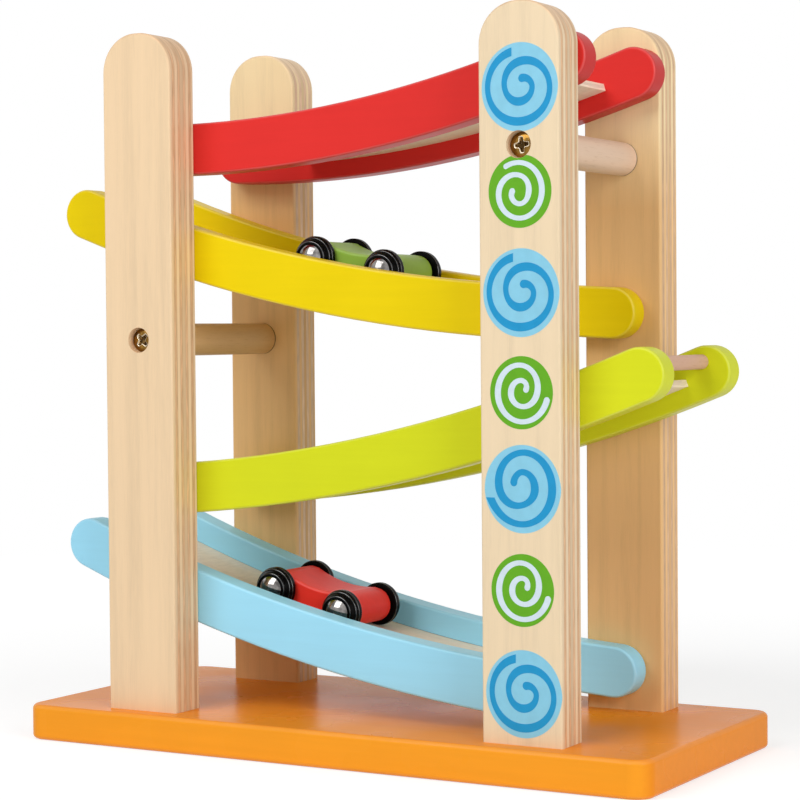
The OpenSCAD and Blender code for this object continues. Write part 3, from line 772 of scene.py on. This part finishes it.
class TOY_OT_screws(bpy.types.Operator):
    """Cut threads and cross recesses on the screws"""

    bl_idname = "toy.screws"
    bl_label = "Screws"

    def execute(self, context):
        pitch = context.scene.toy_sizes.thread_pitch
        brass = bright_metal("yellow_zinc_plating", linear("A07838"), 0.2, 0.2, 0.35)
        zinc = bright_metal("clear_zinc_plating", linear("B9BCC0"), 0.3, 0.2)
        # Pale metal as a painted highlight round the crosses, dark metal as painted shade deep in them
        brink_glint = bright_metal("worn_zinc_plating", linear("DCD2BE"), 0.25, 0.2)
        recess_shade = bright_metal("grimy_zinc_plating", linear("5A4426"), 0.35, 0.2, 0.3)
        spots = []
        for x, z, twist in SPACER_SCREWS:
            for side in (-1, 1):
                turn = Matrix.Rotation(math.radians(-90 * side), 4, "X")
                spin = Matrix.Rotation(twist, 4, "Z")
                spots.append(Matrix.Translation((x, side * SPACER_HEAD_Y, z)) @ turn @ spin)
        self.make("spacer_screws_threaded", "spacer_screws", spots, SPACER_SCREW, pitch,
            (brass, brink_glint, recess_shade), "yellow_zinc_screw")
        spots = []
        aside, y, z = FOOT_HEAD
        flip = Matrix.Rotation(math.pi, 4, "X")
        for post_x in (-POST_X, POST_X):
            for front in (-1, 1):
                for side in (-1, 1):
                    # Each screw has stopped at its own turn
                    spin = Matrix.Rotation(0.3 * side + post_x * 9, 4, "Z")
                    spots.append(Matrix.Translation((post_x + side * aside, front * y, z)) @ flip @ spin)
        self.make("post_screws_threaded", "post_screws", spots, POST_SCREW, pitch,
            (zinc, brink_glint, recess_shade), "steel_screw")
        return {"FINISHED"}

    def make(self, name, node, spots, size, pitch, metals, slot):
        """Builds all screws of one node as one piece."""
        points = []
        faces = []
        marked = {}
        for spot in spots:
            more_points, more_faces, marks = screw_mesh(spot, size, pitch)
            for number, places in enumerate(marks, 1):
                marked.update((i + len(faces), number) for i in places)
            faces.extend(tuple(i + len(points) for i in face) for face in more_faces)
            points.extend(more_points)
        piece = new_piece(name, points, faces, metals, "tower", True)
        for i, number in marked.items():
            piece.data.polygons[i].material_index = number
        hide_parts(node)


class TOY_OT_disks(bpy.types.Operator):
    """Print the disks and their spirals on one post"""

    bl_idname = "toy.disks"
    bl_label = "Printed disks"

    def execute(self, context):
        colours = context.scene.toy_colours
        sizes = context.scene.toy_sizes
        inks = {
            "blue": printed_ink("blue_ink", colours.disk_blue),
            "green": printed_ink("green_ink", colours.disk_green),
        }
        strokes = {
            "blue": printed_ink("deep_blue_ink", colours.spiral_blue),
            "green": printed_ink("white_ink", colours.spiral_white),
        }
        for number, (x, z, tint, design) in enumerate(DISKS, 1):
            radius = (sizes.big_disk if tint == "blue" else sizes.small_disk) / 2
            centre = Vector((x * MM, z * MM))
            slot = tint + "_paint"
            disk = self.disk(centre, radius)
            self.lay_ink(f"printed_disk_{number}", disk, 1, sizes.ink, inks[tint], slot)
            spiral = self.spiral(centre, radius, SPIRALS[design])
            self.lay_ink(f"printed_spiral_{number}", spiral, 2, sizes.ink, strokes[tint], slot)
        return {"FINISHED"}

    def disk(self, centre, radius):
        """A disk's points on the post's face, the first of its rim, and the faces."""
        spots = [centre]
        sunk = Vector((POST_X, SINK_Z))
        for i in range(1, DISK_RINGS + 1):
            share = math.sin(math.pi / 2 * i / DISK_RINGS)
            for x, y, _ in circle(1, 0, DISK_STEPS):
                point = centre + radius * share * Vector((NARROW * x, y))
                away = point - sunk
                if away.length < SINK_R:
                    point = sunk + away.normalized() * SINK_R
                spots.append(point)
        return spots, len(spots) - DISK_STEPS, web(DISK_RINGS, DISK_STEPS)

    def spiral(self, centre, radius, design):
        """The same of a stroke wound inwards."""
        right, last_end, left, first_end = stroke_sides(design, radius)
        spots = [centre + Vector((NARROW * p.x, p.y)) for p in right + last_end + left + first_end]
        rows = len(right)
        left_start = rows + len(last_end)
        left_last = left_start + rows - 1
        faces = [(i, i + 1, left_last - i - 1, left_last - i) for i in range(rows - 1)]
        faces.append(tuple(range(rows - 1, left_start + 1)))
        faces.append((*range(left_last, len(spots)), 0))
        return spots, 0, faces

    def lay_ink(self, name, shape, layers, ink, material, slot):
        """Closes a shape into ink some layers high that follows the post's face and arrises."""
        spots, rim, faces = shape
        count = len(spots)
        points = [(p.x, face_y(p.x, height), p.y) for height in (layers * ink, -ink) for p in spots]
        below = [tuple(count + i for i in reversed(face)) for face in faces]
        sides = band(rim, count + rim, count - rim)
        new_piece(name, points, faces + below + sides, [material], "tower", False)


class TOY_OT_car_bodies(bpy.types.Operator):
    """Paint the two cars"""

    bl_idname = "toy.car_bodies"
    bl_label = "Car bodies"

    def execute(self, context):
        colours = context.scene.toy_colours
        for car in CARS:
            paint = getattr(colours, car + "_paint")
            enamel = painted_wood(car + "_enamel", paint, (30, 2.5, 2.5), 0.4, 0.93)
            dress([car + "_body"], enamel)
        return {"FINISHED"}


# A wheel's width without its boss, and the radii of its axle hole and of its hub cap's seat
WHEEL_WIDTH = 6.4 * MM
AXLE_HOLE_R = 1.25 * MM
CAP_SEAT_R = 5.5 * MM
# The boss's radius over the wheel's, and the cap's seat across the width over it
BOSS_SHARE = 0.3
SEAT_SHARE = 0.8
# The tread: radius over the wheel's, place across the width from the inner face outward over it
TREAD = ((0.94, 0.0), (1.0, 0.07), (1.0, 0.4), (0.955, 0.44), (0.955, 0.5), (0.95, 0.54),
    (0.925, 0.64), (0.86, 0.67), (0.86, 0.73), (0.84, 0.78), (0.79, 0.92), (0.74, 1.0))
# Which of the profile's corners stand proud
PROUD_CORNERS = (4, 5, 9, 14)


class TOY_OT_wheels(bpy.types.Operator):
    """Mould the ribbed wheels of both cars"""

    bl_idname = "toy.wheels"
    bl_label = "Wheels"

    def execute(self, context):
        sizes = context.scene.toy_sizes
        plastic = moulded_abs("black_abs", linear("080808"), 0.05, 0.2, 0.3)
        # Handling polishes the proud arrises of the ribs, which draw thin bright rings
        polished = moulded_abs("polished_black_abs", linear("0C0C0D"), 1.0, 0.08, 0.14)
        for car in CARS:
            for end in ENDS:
                for side, sign in (("front", -1), ("back", 1)):
                    self.wheel(f"{car}_wheel_{end}_{side}", f"{car}_wheels_{end}", sign, sizes,
                        (plastic, polished))
        return {"FINISHED"}

    def wheel(self, node, body, sign, sizes, plastics):
        """Turns one wheel where its node is, with its outer face towards sign along Y."""
        low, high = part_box(node)
        radius = (high.x - low.x) / 2
        outer = low.y if sign < 0 else high.y
        middle = Vector(((low.x + high.x) / 2, outer - sign * WHEEL_WIDTH, (low.z + high.z) / 2))
        boss = (high.y - low.y) - WHEEL_WIDTH
        boss_r = BOSS_SHARE * radius
        seat = SEAT_SHARE * WHEEL_WIDTH
        corners = [(AXLE_HOLE_R, -boss), (boss_r, -boss), (boss_r, 0.0)]
        corners += [(r * radius, w * WHEEL_WIDTH) for r, w in TREAD]
        corners += [(CAP_SEAT_R, WHEEL_WIDTH), (CAP_SEAT_R, seat), (AXLE_HOLE_R, seat)]
        profile = rounded_profile(corners, sizes.rib_round)
        place = Matrix.Translation(middle) @ Matrix.Rotation(math.radians(-90 * sign), 4, "X")
        points, faces = lathe(profile, sizes.wheel_steps, place)
        piece = new_piece(node + "_ribbed", points, faces, plastics, body, True)
        for i, face in enumerate(piece.data.polygons):
            # The last point of a rounded corner starts the plain stretch to the next corner
            corner, step = divmod(i % len(profile) - 1, CORNER_STEPS + 1)
            if step < CORNER_STEPS and corner + 1 in PROUD_CORNERS:
                face.material_index = 1
        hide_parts(node)


class TOY_OT_axles(bpy.types.Operator):
    """Give axles their steel and hub caps their chrome"""

    bl_idname = "toy.axles"
    bl_label = "Axles and hub caps"

    def execute(self, context):
        steel = bright_metal("drawn_steel", linear("A9ABAE"), 0.32, 0.3)
        chrome = bright_metal("chrome_plating", linear("A9A5A2"), 0.1, 0.05, 0.3)
        for car in CARS:
            for end in ENDS:
                dress([f"{car}_axle_{end}"], steel)
                dress([f"{car}_cap_{end}_front", f"{car}_cap_{end}_back"], chrome)
        return {"FINISHED"}


# Each lamp: its place, and the side of its square
KEY_LAMP = ((-0.5, -1.5, 1.4), 1.2)
FILL_LAMP = ((1.75, -0.75, 0.75), 1.2)
TOY_MIDDLE = (0, 0, 0.15)
# How far from the toy the floor starts to turn plain white, and how far off it is
PLAIN_FROM = 0.25
PLAIN_AT = 0.9
# The camera's place, what it looks at, its lens in millimetres and its tilt in degrees
CAMERA_SPOT = (489.88, -845.37, 175.17)
CAMERA_AIM = (4.52, 0, 145.82)
CAMERA_LENS = 103.737
CAMERA_ROLL = -0.4562


def seen_directly(add):
    """1 for what the eye gets, also by a reflection or through glass, and 0 for light on its way."""
    path = add("LightPath").outputs
    seen = add("Math", {0: path["Is Camera Ray"], 1: path["Is Glossy Ray"]}, operation="MAXIMUM")
    return add("Math", {0: seen, 1: path["Is Transmission Ray"]}, operation="MAXIMUM")


class TOY_OT_stage(bpy.types.Operator):
    """Set the floor, the lamps, the sky and the camera"""

    bl_idname = "toy.stage"
    bl_label = "Stage"

    def execute(self, context):
        settings = context.scene.toy_stage
        self.floor(settings.floor_size / 2)
        self.lamp("key_lamp", *KEY_LAMP, settings.key)
        self.lamp("fill_lamp", *FILL_LAMP, settings.fill)
        self.sky(context.scene, settings.sky)
        self.camera(context.scene)
        context.scene.view_settings.view_transform = "Standard"
        return {"FINISHED"}

    def floor(self, half):
        """A wide floor that looks white to the camera but keeps the toy's shadow."""
        mesh = bpy.data.meshes.new("studio_floor")
        low = -0.2 * MM
        corners = [(-half, -half, low), (half, -half, low), (half, half, low), (-half, half, low)]
        mesh.from_pydata(corners, [], [(0, 1, 2, 3)])
        floor = bpy.data.objects.new("studio_floor", mesh)
        bpy.context.scene.collection.objects.link(floor)
        material, add, source = new_tree("white_card")
        place = source["Object"]
        fibre = add("TexNoise", {"Vector": place, "Scale": 1000 / 8, "Detail": 3.0})
        ramp = add("ValToRGB", {"Fac": fibre})
        set_ramp(ramp, [(0.0, linear("F4F4F4")), (1.0, linear("F8F8F8"))])
        card = add("BsdfDiffuse", {"Color": ramp})
        direct = seen_directly(add)
        # Close to the toy half of what the eye gets is lit card, so a shadow shows; far off none is
        reach = add("VectorMath", {0: place}, operation="LENGTH")
        far = add("MapRange", {
            "Value": reach, "From Min": PLAIN_FROM, "From Max": PLAIN_AT, "To Min": 0.5, "To Max": 1.0})
        share = add("Math", {0: direct, 1: far}, operation="MULTIPLY")
        # The other half glows so much that both together are white, and far off that is 1
        level = add("MapRange", {
            "Value": reach, "From Min": PLAIN_FROM, "From Max": PLAIN_AT, "To Min": 1.35, "To Max": 1.0})
        glow = add("Emission", {"Color": WHITE, "Strength": level})
        both = add("MixShader", {"Fac": share, 1: card, 2: glow})
        add("OutputMaterial", {"Surface": both})
        mesh.materials.append(material)

    def lamp(self, name, spot, size, power):
        """A square soft lamp aimed at the middle of the toy."""
        data = bpy.data.lights.new(name, "AREA")
        data.shape = "SQUARE"
        data.size = size
        data.energy = power
        lamp = bpy.data.objects.new(name, data)
        lamp.location = spot
        aim = Vector(TOY_MIDDLE) - Vector(spot)
        lamp.rotation_euler = aim.to_track_quat("-Z", "Y").to_euler()
        bpy.context.scene.collection.objects.link(lamp)

    def sky(self, scene, strength):
        """A white sky, plain to the eye and softer as a light."""
        world = bpy.data.worlds.new("white_studio")
        world.use_nodes = True
        world.node_tree.nodes.clear()
        add = partial(add_node, world.node_tree)
        level = add("MapRange", {"Value": seen_directly(add), "To Min": strength})
        light = add("Background", {"Color": WHITE, "Strength": level})
        add("OutputWorld", {"Surface": light})
        scene.world = world

    def camera(self, scene):
        """The camera stands to the right of the front, a little above the middle."""
        data = bpy.data.cameras.new("camera")
        data.sensor_width = 36
        data.lens = CAMERA_LENS
        data.clip_start = 0.01
        camera = bpy.data.objects.new("camera", data)
        scene.collection.objects.link(camera)
        spot = Vector(CAMERA_SPOT) * MM
        forward = (Vector(CAMERA_AIM) * MM - spot).normalized()
        level = forward.cross(Vector((0, 0, 1))).normalized()
        upright = level.cross(forward)
        roll = math.radians(CAMERA_ROLL)
        right = math.cos(roll) * level + math.sin(roll) * upright
        up = math.cos(roll) * upright - math.sin(roll) * level
        turn = Matrix((right, up, -forward)).transposed()
        camera.matrix_world = Matrix.Translation(spot) @ turn.to_4x4()
        scene.camera = camera


OPERATORS = (
    TOY_OT_base_board,
    TOY_OT_posts,
    TOY_OT_rails,
    TOY_OT_floors,
    TOY_OT_dowels,
    TOY_OT_screws,
    TOY_OT_disks,
    TOY_OT_car_bodies,
    TOY_OT_wheels,
    TOY_OT_axles,
    TOY_OT_stage,
)


class TOY_PT_pieces(bpy.types.Panel):
    """Lists the pieces of the toy"""

    bl_label = "Track toy"
    bl_idname = "TOY_PT_pieces"
    bl_space_type = "VIEW_3D"
    bl_region_type = "UI"
    bl_category = "Track toy"

    def draw(self, context):
        for operator in OPERATORS:
            self.layout.operator(operator.bl_idname)
        for group in (context.scene.toy_colours, context.scene.toy_sizes, context.scene.toy_stage):
            for name in group.__annotations__:
                self.layout.prop(group, name)


CLASSES = (ToyColours, ToySizes, StageSettings) + OPERATORS + (TOY_PT_pieces,)


def register():
    """Registers the classes and hangs the settings on the scene."""
    for cls in CLASSES:
        bpy.utils.register_class(cls)
    bpy.types.Scene.toy_colours = PointerProperty(type=ToyColours)
    bpy.types.Scene.toy_sizes = PointerProperty(type=ToySizes)
    bpy.types.Scene.toy_stage = PointerProperty(type=StageSettings)


def unregister():
    """Takes the settings and the classes away again."""
    del bpy.types.Scene.toy_stage
    del bpy.types.Scene.toy_sizes
    del bpy.types.Scene.toy_colours
    for cls in reversed(CLASSES):
        bpy.utils.unregister_class(cls)


def main():
    """Makes every piece in order."""
    register()
    for operator in OPERATORS:
        group, action = operator.bl_idname.split(".")
        getattr(getattr(bpy.ops, group), action)()


if __name__ == "__main__":
    main()
